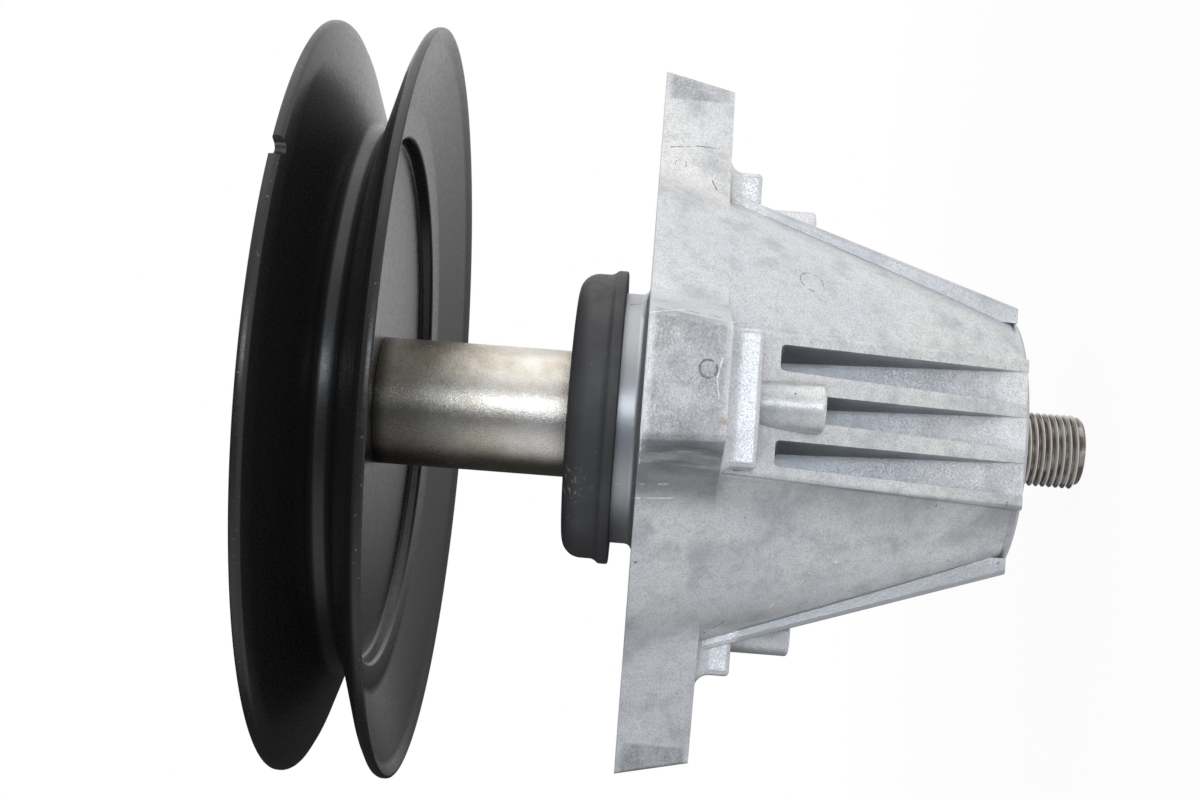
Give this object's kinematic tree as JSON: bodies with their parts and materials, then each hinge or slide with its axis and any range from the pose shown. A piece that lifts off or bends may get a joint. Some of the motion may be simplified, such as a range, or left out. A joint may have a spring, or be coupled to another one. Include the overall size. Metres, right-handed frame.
{
  "type": "mower deck spindle",
  "caption": "Cast spindle housing with bolting ears, a shaft on sealed ball bearings, a threaded blade end, a dust shield and a pressed V-belt pulley on a spacer tube.",
  "frame": {"origin": "on the spindle's axis, in the flange face that bolts against the deck", "axes": "+Z along the axis towards the pulley; one ear along +X, one along +Y"},
  "size_m": [0.16, 0.16, 0.1731],
  "materials": {
    "cast_aluminium": "as cast, mottled light grey",
    "pulley_paint": "black satin paint",
    "spacer_steel": "tumbled grey-brown steel",
    "shaft_steel": "turned steel, lightly rusted thread roots",
    "shield_rubber": "matte dark grey",
    "nut_zinc": "zinc plated",
    "bearing_steel": "ground and polished",
    "cage_steel": "pressed strip",
    "seal_rubber": "matte black"
  },
  "bodies": {
    "housing": {"spindle_housing": "cast_aluminium", "upper_outer_ring": "bearing_steel", "upper_top_seal": "seal_rubber", "upper_bottom_seal": "seal_rubber", "lower_outer_ring": "bearing_steel", "lower_top_seal": "seal_rubber", "lower_bottom_seal": "seal_rubber"},
    "rotor": {"spindle_shaft": "shaft_steel", "bearing_spacer": "spacer_steel", "pulley_spacer": "spacer_steel", "dust_shield": "shield_rubber", "pulley_upper_half": "pulley_paint", "pulley_lower_half": "pulley_paint", "pulley_nut": "nut_zinc", "upper_inner_ring": "bearing_steel", "lower_inner_ring": "bearing_steel"},
    "upper_ball_set": {"upper_balls": "bearing_steel", "upper_cage": "cage_steel"},
    "lower_ball_set": {"lower_balls": "bearing_steel", "lower_cage": "cage_steel"}
  },
  "joints": [
    {"name": "shaft_spin", "type": "hinge", "parent": "housing", "child": "rotor", "pos_m": [0, 0, 0.0035], "axis": [0, 0, 1], "continuous": true},
    {"name": "upper_ball_spin", "type": "hinge", "parent": "housing", "child": "upper_ball_set", "pos_m": [0, 0, 0.0035], "axis": [0, 0, 1], "continuous": true},
    {"name": "lower_ball_spin", "type": "hinge", "parent": "housing", "child": "lower_ball_set", "pos_m": [0, 0, -0.069], "axis": [0, 0, 1], "continuous": true}
  ],
  "couplings": [
    {"joint": "upper_ball_spin", "follows": "shaft_spin", "ratio": 0.38149},
    {"joint": "lower_ball_spin", "follows": "shaft_spin", "ratio": 0.38149}
  ]
}
